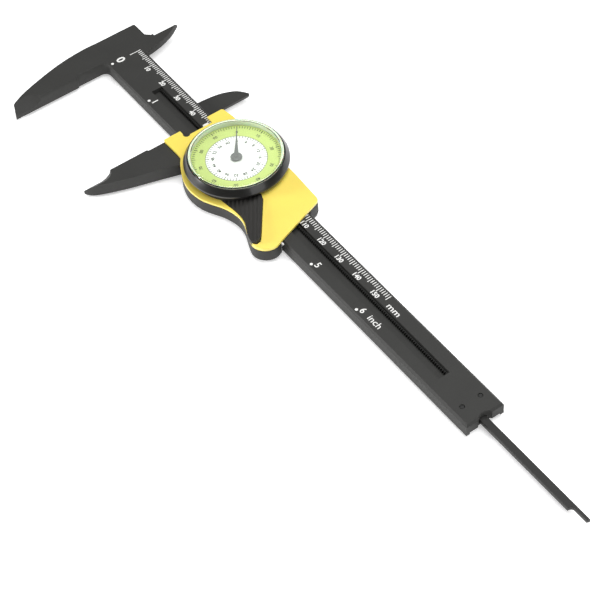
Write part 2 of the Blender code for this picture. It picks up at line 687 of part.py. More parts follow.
def rib_sweep():
    """Ribbed concave surface, swept along the thumb scoop's ribs."""
    run = Vector((0.815, -0.58)).normalized()
    across = Vector((-run.y, run.x))
    start = Vector((SLIDER_X + 44.0, -2.0))
    high = HOUSING_TOP - 0.6
    profile = []
    steps = 60
    for k in range(steps + 1):
        v = 3.0 - 22.0 * k / steps
        depth = min(max((1.0 - v) / SCOOP_WIDTH, 0.0), 1.0)
        scoop = SCOOP_DEPTH * math.sin(math.pi / 2 * depth) ** 0.8
        rib = RIB_HEIGHT * math.cos(2 * math.pi * v / RIB_PITCH) if -12.0 < v < 0.2 else 0.0
        profile.append((v, high - scoop + rib))
    profile += [(profile[-1][0], 0.0), (profile[0][0], 0.0)]
    mesh = bmesh.new()
    ends = []
    for reach in (-14.0, 34.0):
        foot = start + run * reach
        ends.append([mesh.verts.new((foot + across * v).to_3d() * MM + Vector((0, 0, z * MM))) for v, z in profile])
    for i in range(len(profile)):
        j = (i + 1) % len(profile)
        mesh.faces.new((ends[0][i], ends[0][j], ends[1][j], ends[1][i]))
    caps = [mesh.faces.new(ends[0]), mesh.faces.new(ends[1][::-1])]
    mesh.normal_update()
    bmesh.ops.triangulate(mesh, faces=caps)
    return finished("ribs", mesh)


def small_slider_parts():
    """Index, gib, depth rod and its pins."""
    x1 = SLIDER_X + SLIDER_LEFT + NOTCH_DEPTH - SEAT
    index = box_outline(x1 - INDEX_REACH, x1, INDEX_LOW, INDEX_LOW + INDEX_WIDTH)
    prism("scale_index", index, COVER_BOTTOM, COVER_TOP - 0.1, WHITE)
    gib_low = -HALF - SEAT - GIB_THICKNESS
    gib = box_outline(SLIDER_X + GIB_START, SLIDER_X + GIB_END, gib_low, gib_low + GIB_THICKNESS)
    prism("gib", gib, SLIDER_FLOOR + SEAT, SLIDER_FLOOR + SEAT + GIB_HEIGHT, WHITE)
    start = SLIDER_X + ROD_ROOT
    end = BEAM_END + OPENING
    half = ROD_WIDTH / 2
    relief = [Vector((end - ROD_TIP_LENGTH - 1.2 + 1.6 * math.sin(a), half - ROD_TIP_WIDTH - 1.7 * math.cos(a)))
              for a in (math.pi / 2 * k / 4 for k in range(5))]
    outline = ([Vector((start, -half))] + relief + [Vector((end, half - ROD_TIP_WIDTH)), Vector((end, half)),
                                                    Vector((start, half))])
    rod = prism("depth_rod", outline, ROD_BOTTOM, ROD_TOP, GREY, 0.15, 0.15)
    cut(rod, *[pin(SCREW_RADIUS + BORE_PLAY, start + reach, 0, 0, ROD_TOP + 1) for reach in ROD_PINS])
    for number, reach in enumerate(ROD_PINS, 1):
        x = start + reach
        prism(f"rod_pin_{number}", circle(SCREW_RADIUS, x, 0, 16), 0.1, ROD_TOP - 0.1, STEEL, 0.1, 0.1, smooth=True)


def movement():
    """Plate, bushes, screws, gears and shafts between the cover and the housing."""
    dial = SLIDER_X + DIAL_X
    pinion = SLIDER_X + PINION_X
    places = (("pointer_bush", dial, 0.0), ("pinion_bush", pinion, PINION_Y))
    plate = prism("movement_plate", circle(PLATE_RADIUS, dial, 0, 56), PLATE_BOTTOM, PLATE_TOP, BRASS)
    cut(plate, *[pin(BUSH_RADIUS + BORE_PLAY, x, y, PLATE_BOTTOM - 1, PLATE_TOP + 1) for _, x, y in places])
    for name, x, y in places:
        drum(name, [(SHAFT_RADIUS + BORE_PLAY, PLATE_BOTTOM), (BUSH_RADIUS, PLATE_BOTTOM), (BUSH_RADIUS, PLATE_TOP),
                    (SHAFT_RADIUS + BORE_PLAY, PLATE_TOP)], x, y, BRASS, 16)
    angle = math.atan2(PINION_Y, PINION_X - DIAL_X)
    bore = SHAFT_RADIUS + GEAR_PLAY
    wheel = prism("pointer_gear", gear_outline(POINTER_TEETH, TRAIN_MODULE, dial, 0, angle), GEAR_BOTTOM,
                  GEAR_TOP, BRASS)
    cut(wheel, pin(bore, dial, 0, GEAR_BOTTOM - 1, GEAR_TOP + 1))
    turn = angle + math.pi + math.pi / TRANSFER_TEETH
    transfer = prism("transfer_gear", gear_outline(TRANSFER_TEETH, TRAIN_MODULE, pinion, PINION_Y, turn), GEAR_BOTTOM,
                     GEAR_TOP, BRASS)
    cut(transfer, pin(bore, pinion, PINION_Y, GEAR_BOTTOM - 1, GEAR_TOP + 1))
    hub = prism("rack_pinion", gear_outline(PINION_TEETH, PINION_MODULE, pinion, PINION_Y, math.pi / 2),
                GROOVE_FLOOR + 0.25, BEAM_TOP - 0.3, STEEL)
    join(hub, prism("shaft", circle(SHAFT_RADIUS, pinion, PINION_Y, 16), BEAM_TOP - 0.6, HOUSING_TOP - 0.5))
    shaft = prism("pointer_shaft", circle(SHAFT_RADIUS, dial, 0, 16), PLATE_BOTTOM + 0.1, pointer_top() + 0.1, STEEL,
                  0, 0.1, smooth=True)
    needle = pointer(dial)
    for obj in (wheel, shaft, needle):
        set_origin(obj, dial, 0, GEAR_BOTTOM)
    for obj in (transfer, hub):
        set_origin(obj, pinion, PINION_Y, GEAR_BOTTOM)


def pointer_top():
    return DIAL_TOP + 0.5 + POINTER_THICKNESS


def pointer(x):
    reach = [(POINTER_HUB * math.cos(a), POINTER_HUB * math.sin(a))
             for a in (math.radians(24 + 312 * k / 24) for k in range(25))]
    outline = [Vector(p) for p in reach] + [Vector((POINTER_REACH, -0.12)), Vector((POINTER_REACH, 0.12))]
    turn = Matrix.Rotation(POINTER_ANGLE, 2)
    outline = [turn @ p + Vector((x, 0)) for p in outline]
    needle = prism("pointer", outline, DIAL_TOP + 0.5, pointer_top(), GREY)
    return cut(needle, pin(SHAFT_RADIUS + GEAR_PLAY, x, 0, DIAL_TOP - 1, pointer_top() + 1))


def bezel():
    """Bezel ring with its spigot, the dial it carries, the clear lens and the spring wire."""
    x = SLIDER_X + DIAL_X
    inner = BEZEL_RADIUS - BEZEL_WALL
    spigot = CHANNEL_INNER + SEAT
    foot = HOUSING_TOP - CHANNEL_DEPTH + SEAT
    floor = DIAL_BOTTOM - 0.1
    shoulder = BEZEL_BOTTOM + BEZEL_SHOULDER
    ring = drum("bezel_ring", [(spigot, foot), (spigot + SPIGOT_WALL, foot), (spigot + SPIGOT_WALL, BEZEL_BOTTOM),
                               (BEZEL_RADIUS - 0.2, BEZEL_BOTTOM), (BEZEL_RADIUS, BEZEL_BOTTOM + 0.2),
                               (BEZEL_RADIUS, shoulder), (inner + BEZEL_RIM, BEZEL_TOP - 0.1),
                               (inner + BEZEL_RIM - 0.15, BEZEL_TOP), (inner, BEZEL_TOP), (inner, floor),
                               (spigot, floor)], x, 0, BLACK)
    outer = inner - 0.1
    face = drum("dial_face", [(DIAL_HOLE, DIAL_BOTTOM), (outer, DIAL_BOTTOM), (outer, DIAL_TOP),
                              (DIAL_HOLE, DIAL_TOP)], x, 0, LIME)
    low = DIAL_TOP + 0.1
    top = BEZEL_TOP + LENS_RISE
    under = top - LENS_THICKNESS
    lens = drum("lens", [(outer - LENS_WALL, low), (outer, low), (outer, top - 0.4), (outer - 0.15, top - 0.1),
                         (outer - 0.5, top), (0, top), (0, under), (outer - LENS_WALL, under)], x, 0, CLEAR)
    middle = CHANNEL_OUTER - SPRING_WIRE - 0.15
    level = HOUSING_TOP - CHANNEL_DEPTH / 2
    wire = [(middle + SPRING_WIRE * math.cos(a), level + SPRING_WIRE * math.sin(a))
            for a in (2 * math.pi * k / 6 for k in range(6))]
    drum("bezel_spring", wire, x, 0, STEEL, 48)
    for obj in (ring, face, lens):
        set_origin(obj, x, 0, BEZEL_BOTTOM)


def place_from_measuring_face():
    """Origin halfway through the fixed jaw, on the flat of its measuring face."""
    origin = Vector((FIXED_FACE, FACE_POINT, MIDDLE)) * MM
    for obj in bpy.data.objects:
        obj.location -= origin


def main():
    clear_scene()
    beam()
    rack()
    end_parts()
    slider_base()
    cover()
    cover_screws()
    housing()
    small_slider_parts()
    movement()
    bezel()
    place_from_measuring_face()


if __name__ == "__main__":
    main()
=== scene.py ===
"""Dresses a moulded plastic dial caliper: finishes, printed scales, dial, lens, soft edges and a studio."""

import math

import bmesh
import bpy
from bpy.props import FloatProperty, FloatVectorProperty, IntProperty, PointerProperty
from bpy.types import Operator, Panel, PropertyGroup
from mathutils import Matrix, Vector


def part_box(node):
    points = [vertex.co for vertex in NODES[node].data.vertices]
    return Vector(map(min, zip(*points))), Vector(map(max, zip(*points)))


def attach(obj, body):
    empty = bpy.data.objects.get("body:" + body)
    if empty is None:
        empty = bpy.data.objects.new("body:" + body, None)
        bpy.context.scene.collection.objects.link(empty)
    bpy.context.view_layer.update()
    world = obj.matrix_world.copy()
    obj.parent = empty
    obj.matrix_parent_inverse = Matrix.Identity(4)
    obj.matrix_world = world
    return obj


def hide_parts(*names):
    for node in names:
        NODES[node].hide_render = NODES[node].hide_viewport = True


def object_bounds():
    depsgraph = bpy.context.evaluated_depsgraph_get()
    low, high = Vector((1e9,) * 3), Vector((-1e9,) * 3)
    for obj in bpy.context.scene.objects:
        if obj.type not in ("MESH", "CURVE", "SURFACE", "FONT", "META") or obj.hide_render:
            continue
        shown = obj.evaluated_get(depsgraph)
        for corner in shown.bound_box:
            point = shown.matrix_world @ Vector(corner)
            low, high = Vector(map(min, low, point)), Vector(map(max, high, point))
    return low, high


bl_info = {
    "name": "Dial Caliper Dresser",
    "version": (1, 0, 0),
    "blender": (4, 5, 0),
    "location": "View3D > Sidebar > Caliper",
    "description": "Builds the finishes, printed scales, dial and studio of a plastic dial caliper",
    "category": "Object",
}

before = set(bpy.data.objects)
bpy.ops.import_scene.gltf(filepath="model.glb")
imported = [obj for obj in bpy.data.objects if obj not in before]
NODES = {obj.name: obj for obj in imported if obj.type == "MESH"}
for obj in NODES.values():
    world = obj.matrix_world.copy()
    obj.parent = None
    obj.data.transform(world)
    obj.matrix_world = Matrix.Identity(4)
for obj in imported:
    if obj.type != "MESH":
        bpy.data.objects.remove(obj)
CAD_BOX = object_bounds()

MM = 0.001
ZERO_MARK = Vector((1.75, 28.0, -3.9)) * MM
BEAM_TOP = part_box("beam")[1].z
DIAL_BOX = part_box("dial_face")
DIAL_CENTRE = (DIAL_BOX[0] + DIAL_BOX[1]) / 2
DIAL_TOP = DIAL_BOX[1].z
PRINT_GAP = 0.004 * MM
PRINT_THICKNESS = 0.02 * MM


# Settings

class CaliperScaleSettings(PropertyGroup):
    """Printed scale of the beam."""
    tick_width: FloatProperty(name="Tick width", description="Width of a graduation", default=0.3 * MM,
                              unit="LENGTH", precision=5)
    tick_top: FloatProperty(name="Tick top", description="Upper ends, from the beam's centre line",
                            default=6.45 * MM, unit="LENGTH", precision=5)
    tick_length: FloatProperty(name="Tick length", description="Length of a 1 mm graduation",
                               default=1.75 * MM, unit="LENGTH", precision=5)
    five_length: FloatProperty(name="5 mm tick length", description="Length of a 5 mm graduation",
                               default=2.35 * MM, unit="LENGTH", precision=5)
    ten_length: FloatProperty(name="10 mm tick length", description="Length of a 10 mm graduation",
                              default=2.6 * MM, unit="LENGTH", precision=5)
    zero_length: FloatProperty(name="Zero tick length", description="Length of the zero mark",
                               default=4.7 * MM, unit="LENGTH", precision=5)
    range_mm: IntProperty(name="Last graduation", description="Last millimetre mark", default=155)
    digit_height: FloatProperty(name="Digit height", description="Height of the millimetre numbers",
                                default=1.85 * MM, unit="LENGTH", precision=5)
    inch_digit_height: FloatProperty(name="Inch digit height", description="Height of the inch numbers",
                                     default=2.55 * MM, unit="LENGTH", precision=5)
    dot_radius: FloatProperty(name="Inch dot radius", description="Radius of an inch dot", default=0.55 * MM,
                              unit="LENGTH", precision=5)
    ink: FloatVectorProperty(name="Ink", description="Colour of the printed marks",
                             default=(0.86, 0.86, 0.84), subtype="COLOR", min=0, max=1)


class CaliperDialSettings(PropertyGroup):
    """Dial face, its print and the pointer."""
    ring_divisions: IntProperty(name="Ring divisions", description="Divisions of the outer ring", default=100)
    disc_divisions: IntProperty(name="Disc divisions", description="Divisions of the inner disc", default=64)
    disc_radius: FloatProperty(name="Disc radius", description="Radius of the white disc", default=11.05 * MM,
                               unit="LENGTH", precision=5)
    zero_angle: FloatProperty(name="Zero angle", description="Direction of the zero mark",
                              default=math.radians(145), unit="ROTATION")
    ring_colour: FloatVectorProperty(name="Ring colour", description="Outer ring",
                                     default=(0.46, 0.545, 0.18), subtype="COLOR", min=0, max=1)
    disc_colour: FloatVectorProperty(name="Disc colour", description="Inner disc", default=(0.80, 0.80, 0.77),
                                     subtype="COLOR", min=0, max=1)
    ink: FloatVectorProperty(name="Ink", description="Dial print", default=(0.06, 0.07, 0.05),
                             subtype="COLOR", min=0, max=1)
    pointer_colour: FloatVectorProperty(name="Pointer colour", description="Pointer",
                                        default=(0.15, 0.15, 0.145), subtype="COLOR", min=0, max=1)


class CaliperFinishSettings(PropertyGroup):
    """Colours and surface of the plastics and metals."""
    black: FloatVectorProperty(name="Black plastic", description="Beam, jaws and housing",
                               default=(0.040, 0.040, 0.038), subtype="COLOR", min=0, max=1)
    yellow: FloatVectorProperty(name="Yellow plastic", description="Cover", default=(0.97, 0.77, 0.13),
                                subtype="COLOR", min=0, max=1)
    bezel: FloatVectorProperty(name="Bezel plastic", description="Bezel ring", default=(0.011, 0.011, 0.010),
                               subtype="COLOR", min=0, max=1)
    edge_round: FloatProperty(name="Edge rounding", description="Radius of the moulded edges",
                              default=0.14 * MM, unit="LENGTH", precision=5)


class CaliperStageSettings(PropertyGroup):
    """Camera and light."""
    azimuth: FloatProperty(name="Azimuth", description="Camera's direction", default=math.radians(57.951),
                           unit="ROTATION")
    elevation: FloatProperty(name="Elevation", description="Camera's height angle",
                             default=math.radians(49.708), unit="ROTATION")
    roll: FloatProperty(name="Roll", description="Camera's roll", default=math.radians(4.759),
                        unit="ROTATION")
    distance: FloatProperty(name="Distance", description="From the target", default=0.628277,
                            unit="LENGTH")
    target: FloatVectorProperty(name="Target", description="Point in the middle of the picture",
                                default=(0.139249, 0.009738, 0.0025), subtype="TRANSLATION", unit="LENGTH")
    lens: FloatProperty(name="Focal length", description="In millimetres on a 36 mm sensor", default=113.502)
    overhead: FloatProperty(name="Overhead light", description="Power of the large soft box", default=15.0,
                            unit="POWER")
    right_side: FloatProperty(name="Right light", description="Power of the soft box at the beam's end",
                              default=1.5, unit="POWER")
    left_side: FloatProperty(name="Left light", description="Power of the soft box at the jaws' tips",
                             default=6.0, unit="POWER")
    ambient: FloatProperty(name="Zenith", description="Brightness of the surroundings overhead", default=0.75)
    horizon: FloatProperty(name="Horizon", description="Brightness of the surroundings at the horizon",
                           default=0.2)
    floor_glow: FloatProperty(name="Floor glow", description="Light of the white floor itself", default=0.45)


def settings(context):
    """Settings of the scale, the dial, the finishes and the stage, in this order."""
    scene = context.scene
    return scene.caliper_scale, scene.caliper_dial, scene.caliper_finish, scene.caliper_stage


# Mesh helpers

def on_beam(x, y, z=0.0):
    """Point given from the beam's zero mark, its centre line and the slider's back, in millimetres."""
    return ZERO_MARK + Vector((x, y, z)) * MM


def piece_from(name, mesh, body, material, smooth_angle=30.0):
    """Object from a bmesh, riding on a body."""
    data = bpy.data.meshes.new(name)
    bmesh.ops.recalc_face_normals(mesh, faces=mesh.faces)
    mesh.to_mesh(data)
    mesh.free()
    data.materials.append(material)
    for face in data.polygons:
        face.use_smooth = True
    data.set_sharp_from_angle(angle=math.radians(smooth_angle))
    obj = bpy.data.objects.new(name, data)
    bpy.context.scene.collection.objects.link(obj)
    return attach(obj, body)


def add_prism(mesh, outline, low, high):
    """Closed prism over a convex outline of (x, y) points."""
    bottom = [mesh.verts.new((x, y, low)) for x, y in outline]
    top = [mesh.verts.new((x, y, high)) for x, y in outline]
    mesh.faces.new(bottom[::-1])
    mesh.faces.new(top)
    for i in range(len(outline)):
        j = (i + 1) % len(outline)
        mesh.faces.new((bottom[i], bottom[j], top[j], top[i]))


def shrunk(outline, distance):
    """Anticlockwise outline moved inwards."""
    points = [Vector(p) for p in outline]
    result = []
    for i, here in enumerate(points):
        before = (here - points[i - 1]).normalized()
        after = (points[(i + 1) % len(points)] - here).normalized()
        inward = Vector((-before.y - after.y, before.x + after.x)).normalized()
        share = max(0.5, inward.dot(Vector((-after.y, after.x))))
        result.append(here + inward * distance / share)
    return result


def add_plate(mesh, outline, low, high, bevel=0.0):
    """Closed prism over any outline, with an optional bevel round its upper rim."""
    rings = [(outline, low), (outline, high - bevel)]
    if bevel:
        rings.append((shrunk(outline, bevel), high))
    levels = [[mesh.verts.new((p[0], p[1], z)) for p in points] for points, z in rings]
    caps = [mesh.faces.new(levels[0][::-1]), mesh.faces.new(levels[-1])]
    for below, above in zip(levels, levels[1:]):
        for i in range(len(outline)):
            j = (i + 1) % len(outline)
            mesh.faces.new((below[i], below[j], above[j], above[i]))
    mesh.normal_update()
    bmesh.ops.triangulate(mesh, faces=caps)


def add_bar(mesh, start, end, width, low, high):
    """Thin printed line between two points."""
    start, end = start.xy, end.xy
    side = (end - start).normalized().orthogonal() * width / 2
    add_prism(mesh, [start - side, end - side, end + side, start + side], low, high)


def add_disc(mesh, centre, radius, low, high, steps=24):
    """Printed dot."""
    angles = [2 * math.pi * k / steps for k in range(steps)]
    add_prism(mesh, [(centre.x + radius * math.cos(a), centre.y + radius * math.sin(a)) for a in angles],
              low, high)


def add_text(mesh, words, height, centre, angle, low, high, weight=0.0, squeeze=1.0):
    """Printed characters of a given height, centred on a point and turned by an angle."""
    curve = bpy.data.curves.new("lettering", "FONT")
    curve.body = words
    curve.align_x = "CENTER"
    curve.align_y = "CENTER"
    curve.size = 1.0
    curve.offset = weight
    curve.resolution_u = 3
    curve.extrude = 0.5
    shape = bpy.data.objects.new("lettering", curve)
    bpy.context.scene.collection.objects.link(shape)
    bpy.context.view_layer.update()
    seen = shape.evaluated_get(bpy.context.evaluated_depsgraph_get())
    data = bpy.data.meshes.new_from_object(seen)
    bpy.data.objects.remove(shape, do_unlink=True)
    bpy.data.curves.remove(curve)
    ys = [v.co.y for v in data.vertices]
    xs = [v.co.x for v in data.vertices]
    tall = height / (max(ys) - min(ys))
    middle = Vector(((max(xs) + min(xs)) / 2, (max(ys) + min(ys)) / 2, 0))
    turn = Matrix.Rotation(angle, 4, "Z")
    grow = Matrix.Diagonal((tall * squeeze, tall, high - low, 1))
    place = Matrix.Translation((centre.x, centre.y, (low + high) / 2))
    data.transform(place @ turn @ grow @ Matrix.Translation(-middle))
    known = len(mesh.verts)
    mesh.from_mesh(data)
    mesh.verts.ensure_lookup_table()
    bmesh.ops.remove_doubles(mesh, verts=mesh.verts[known:], dist=1e-7)
    bpy.data.meshes.remove(data)


def revolve(profile, centre, steps=160):
    """Turned shape of a closed (radius, height) profile about a vertical axis; radius 0 lies on the axis."""
    mesh = bmesh.new()
    poles = {i: mesh.verts.new((centre.x, centre.y, z)) for i, (r, z) in enumerate(profile) if r == 0}
    columns = []
    for k in range(steps):
        angle = 2 * math.pi * k / steps
        columns.append([poles.get(i) or mesh.verts.new((centre.x + r * math.cos(angle),
                                                        centre.y + r * math.sin(angle), z))
                        for i, (r, z) in enumerate(profile)])
    for here, there in zip(columns, columns[1:] + columns[:1]):
        for i in range(len(profile)):
            j = (i + 1) % len(profile)
            if i in poles and j in poles:
                continue
            mesh.faces.new(tuple(dict.fromkeys((here[i], there[i], there[j], here[j]))))
    return mesh


def join_meshes(mesh, other):
    """Adds another bmesh's faces to a bmesh."""
    carrier = bpy.data.meshes.new("carrier")
    other.to_mesh(carrier)
    other.free()
    mesh.from_mesh(carrier)
    bpy.data.meshes.remove(carrier)


def rounded_profile(corners, steps=4):
    """Profile through (radius, height, rounding) corners."""
    points = []
    for i, (x, y, radius) in enumerate(corners):
        here = Vector((x, y))
        if radius <= 0:
            points.append((x, y))
            continue
        before = (Vector(corners[i - 1][:2]) - here).normalized()
        after = (Vector(corners[(i + 1) % len(corners)][:2]) - here).normalized()
        half = before.angle(after) / 2
        centre = here + (before + after).normalized() * radius / math.sin(half)
        first = here + before * radius / math.tan(half) - centre
        last = here + after * radius / math.tan(half) - centre
        turn = math.atan2(first.x * last.y - first.y * last.x, first.dot(last))
        for k in range(steps + 1):
            p = centre + Matrix.Rotation(turn * k / steps, 2) @ first
            points.append((p.x, p.y))
    return points


def polar(radius, angle):
    """Point at a distance and a direction from the dial's centre."""
    return DIAL_CENTRE.xy.to_3d() + Vector((radius * math.cos(angle), radius * math.sin(angle), 0))


# Materials

def node_group(name, inputs, outputs):
    """Empty shader node group with named sockets; returns its tree, input and output nodes."""
    tree = bpy.data.node_groups.new(name, "ShaderNodeTree")
    for label, kind, value in inputs:
        socket = tree.interface.new_socket(name=label, in_out="INPUT", socket_type=kind)
        socket.default_value = value
    for label, kind in outputs:
        tree.interface.new_socket(name=label, in_out="OUTPUT", socket_type=kind)
    return tree, tree.nodes.new("NodeGroupInput"), tree.nodes.new("NodeGroupOutput")


def math_node(tree, operation, *values):
    """Output of a new math node whose inputs are given as sockets or plain numbers."""
    made = tree.nodes.new("ShaderNodeMath")
    made.operation = operation
    for socket, value in zip(made.inputs, values):
        if isinstance(value, bpy.types.NodeSocket):
            tree.links.new(value, socket)
        else:
            socket.default_value = value
    return made.outputs[0]


def moulded_grain():
    """Spark-eroded grain with faint cloudiness: a varied colour, a varied roughness and a bump height."""
    found = bpy.data.node_groups.get("moulded grain")
    if found:
        return found
    tree, given, result = node_group(
        "moulded grain",
        [("Color", "NodeSocketColor", (0.5, 0.5, 0.5, 1)), ("Roughness", "NodeSocketFloat", 0.5),
         ("Grain Size", "NodeSocketFloat", 2600.0), ("Variation", "NodeSocketFloat", 0.12)],
        [("Color", "NodeSocketColor"), ("Roughness", "NodeSocketFloat"), ("Height", "NodeSocketFloat")])
    new = tree.nodes.new
    link = tree.links.new
    place = new("ShaderNodeTexCoord")
    fine = new("ShaderNodeTexNoise")
    fine.inputs["Detail"].default_value = 3.0
    cloud = new("ShaderNodeTexNoise")
    cloud.inputs["Scale"].default_value = 90.0
    cloud.inputs["Detail"].default_value = 4.0
    link(place.outputs["Object"], fine.inputs["Vector"])
    link(place.outputs["Object"], cloud.inputs["Vector"])
    link(given.outputs["Grain Size"], fine.inputs["Scale"])
    half = math_node(tree, "MULTIPLY", cloud.outputs["Fac"], 0.5)
    blend = math_node(tree, "MULTIPLY_ADD", fine.outputs["Fac"], 0.5, half)
    centred = math_node(tree, "SUBTRACT", blend, 0.5)
    swing = math_node(tree, "MULTIPLY", centred, given.outputs["Variation"])
    shade = new("ShaderNodeVectorMath")
    shade.operation = "SCALE"
    link(given.outputs["Color"], shade.inputs[0])
    link(math_node(tree, "MULTIPLY_ADD", swing, 4.0, 1.0), shade.inputs["Scale"])
    link(shade.outputs["Vector"], result.inputs["Color"])
    link(math_node(tree, "ADD", given.outputs["Roughness"], swing), result.inputs["Roughness"])
    link(fine.outputs["Fac"], result.inputs["Height"])
    return tree


def plastic(name, colour, roughness, grain=2600.0, variation=0.12, bump=0.12, coat=0.0, subsurface=0.0,
            specular=0.5):
    """Moulded plastic."""
    found = bpy.data.materials.get(name)
    if found:
        return found
    made = bpy.data.materials.new(name)
    made.use_nodes = True
    tree = made.node_tree
    shader = tree.nodes["Principled BSDF"]
    group = tree.nodes.new("ShaderNodeGroup")
    group.node_tree = moulded_grain()
    group.inputs["Color"].default_value = (*colour, 1)
    group.inputs["Roughness"].default_value = roughness
    group.inputs["Grain Size"].default_value = grain
    group.inputs["Variation"].default_value = variation
    raised = tree.nodes.new("ShaderNodeBump")
    raised.inputs["Strength"].default_value = bump
    raised.inputs["Distance"].default_value = 0.02 * MM
    tree.links.new(group.outputs["Color"], shader.inputs["Base Color"])
    tree.links.new(group.outputs["Roughness"], shader.inputs["Roughness"])
    tree.links.new(group.outputs["Height"], raised.inputs["Height"])
    tree.links.new(raised.outputs["Normal"], shader.inputs["Normal"])
    shader.inputs["Specular IOR Level"].default_value = specular
    shader.inputs["Coat Weight"].default_value = coat
    shader.inputs["Coat Roughness"].default_value = 0.08
    if subsurface:
        shader.inputs["Subsurface Weight"].default_value = subsurface
        shader.inputs["Subsurface Scale"].default_value = 0.4 * MM
    return made


def metal(name, colour, roughness):
    """Machined metal with a fine grain."""
    found = bpy.data.materials.get(name)
    if found:
        return found
    made = plastic(name, colour, roughness, 3500.0, 0.1, 0.08)
    made.node_tree.nodes["Principled BSDF"].inputs["Metallic"].default_value = 1.0
    return made


def clear_plastic():
    """Polished acrylic; light passes straight through it to what lies below."""
    found = bpy.data.materials.get("clear acrylic")
    if found:
        return found
    made = bpy.data.materials.new("clear acrylic")
    made.use_nodes = True
    tree = made.node_tree
    shader = tree.nodes["Principled BSDF"]
    shader.inputs["Base Color"].default_value = (0.95, 0.97, 0.965, 1)
    shader.inputs["Roughness"].default_value = 0.03
    shader.inputs["IOR"].default_value = 1.49
    shader.inputs["Transmission Weight"].default_value = 1.0
    smear = tree.nodes.new("ShaderNodeTexNoise")
    smear.inputs["Scale"].default_value = 160.0
    smear.inputs["Detail"].default_value = 2.0
    spread = tree.nodes.new("ShaderNodeMapRange")
    spread.inputs["To Min"].default_value = 0.004
    spread.inputs["To Max"].default_value = 0.015
    tree.links.new(smear.outputs["Fac"], spread.inputs["Value"])
    tree.links.new(spread.outputs["Result"], shader.inputs["Roughness"])
    through = tree.nodes.new("ShaderNodeBsdfTransparent")
    through.inputs["Color"].default_value = (0.95, 0.97, 0.96, 1)
    path = tree.nodes.new("ShaderNodeLightPath")
    mix = tree.nodes.new("ShaderNodeMixShader")
    output = tree.nodes["Material Output"]
    tree.links.new(path.outputs["Is Shadow Ray"], mix.inputs[0])
    tree.links.new(shader.outputs["BSDF"], mix.inputs[1])
    tree.links.new(through.outputs["BSDF"], mix.inputs[2])
    tree.links.new(mix.outputs["Shader"], output.inputs["Surface"])
    return made


def studio_sky(horizon, zenith):
    """Surroundings that grow brighter from the horizon up."""
    world = bpy.data.worlds.new("studio")
    world.use_nodes = True
    tree = world.node_tree
    place = tree.nodes.new("ShaderNodeTexCoord")
    split = tree.nodes.new("ShaderNodeSeparateXYZ")
    rise = tree.nodes.new("ShaderNodeMapRange")
    rise.interpolation_type = "SMOOTHSTEP"
    rise.inputs["From Min"].default_value = 0.05
    rise.inputs["From Max"].default_value = 0.75
    rise.inputs["To Min"].default_value = horizon
    rise.inputs["To Max"].default_value = zenith
    tree.links.new(place.outputs["Generated"], split.inputs["Vector"])
    tree.links.new(split.outputs["Z"], rise.inputs["Value"])
    tree.links.new(rise.outputs["Result"], tree.nodes["Background"].inputs["Strength"])
    return world


def dress(node, material, edge=0.0):
    """Gives a CAD node its finish and rounds its moulded edges."""
    obj = NODES[node]
    data = obj.data
    data.materials.clear()
    data.materials.append(material)
    custom = data.attributes.get("custom_normal")
    if custom:
        data.attributes.remove(custom)
    for face in data.polygons:
        face.use_smooth = True
    if edge:
        weld = obj.modifiers.new("weld", "WELD")
        weld.merge_threshold = 1e-6
        flat = obj.modifiers.new("flat faces", "DECIMATE")
        flat.decimate_type = "DISSOLVE"
        flat.angle_limit = math.radians(0.6)
        soft = obj.modifiers.new("moulded edge", "BEVEL")
        soft.width = edge
        soft.segments = 2
        soft.limit_method = "ANGLE"
        soft.angle_limit = math.radians(40)
        soft.harden_normals = True
        soft.use_clamp_overlap = True
    data.set_sharp_from_angle(angle=math.radians(30))
    return obj


# Operators, one for each piece or group of like pieces

class CALIPER_OT_body_finish(Operator):
    """Finish and edges of the beam, its rack and plate, the slider, the cover, the housing and the index"""
    bl_idname = "caliper.body_finish"
    bl_label = "Body finish"

    def execute(self, context):
        finish = settings(context)[2]
        edge = finish.edge_round
        black = plastic("glass filled black", finish.black, 0.55, specular=0.25)
        for node in ("beam", "slider_base"):
            dress(node, black, edge)
        dress("end_plate", black)
        # The rack is painted darker than the beam's black as painted shade, so it merges with the groove's
        # shadow line.
        dress("rack", plastic("rack painted groove shade", (0.012, 0.012, 0.011), 0.6, specular=0.25))
        dress("dial_housing", plastic("housing black", (0.030, 0.029, 0.027), 0.5, variation=0.08,
                                      specular=0.3))
        yellow = plastic("yellow cover", finish.yellow, 0.4, 3200.0, 0.05, 0.03, coat=0.6, subsurface=0.08)
        dress("cover", yellow, edge * 2)
        dress("scale_index", plastic("white index", (0.8, 0.8, 0.76), 0.45))
        return {"FINISHED"}


class CALIPER_OT_depth_rod(Operator):
    """Depth rod with the bite beside its narrow tip"""
    bl_idname = "caliper.depth_rod"
    bl_label = "Depth rod"

    def execute(self, context):
        low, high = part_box("depth_rod")
        tip_width = 1.1 * MM
        tip_slant = 0.35 * MM
        bite_length = 7.2 * MM
        bite_sweep = 1.25 * MM
        steps = 8
        bite = high.y - tip_width - low.y
        corner = high.x - bite_length
        outline = [Vector((low.x, low.y))]
        for k in range(steps + 1):
            angle = math.pi / 2 * k / steps
            outline.append(Vector((corner + bite_sweep * (1 - math.cos(angle)),
                                   low.y + bite * math.sin(angle))))
        outline += [Vector((high.x - tip_slant, high.y - tip_width)), Vector((high.x, high.y)),
                    Vector((low.x, high.y))]
        mesh = bmesh.new()
        add_plate(mesh, outline, low.z, high.z, 0.15 * MM)
        black = plastic("rod black", (0.026, 0.026, 0.025), 0.5, specular=0.3)
        rod = piece_from("rod", mesh, "slider_body", black)
        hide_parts("depth_rod")
        return {"FINISHED"}


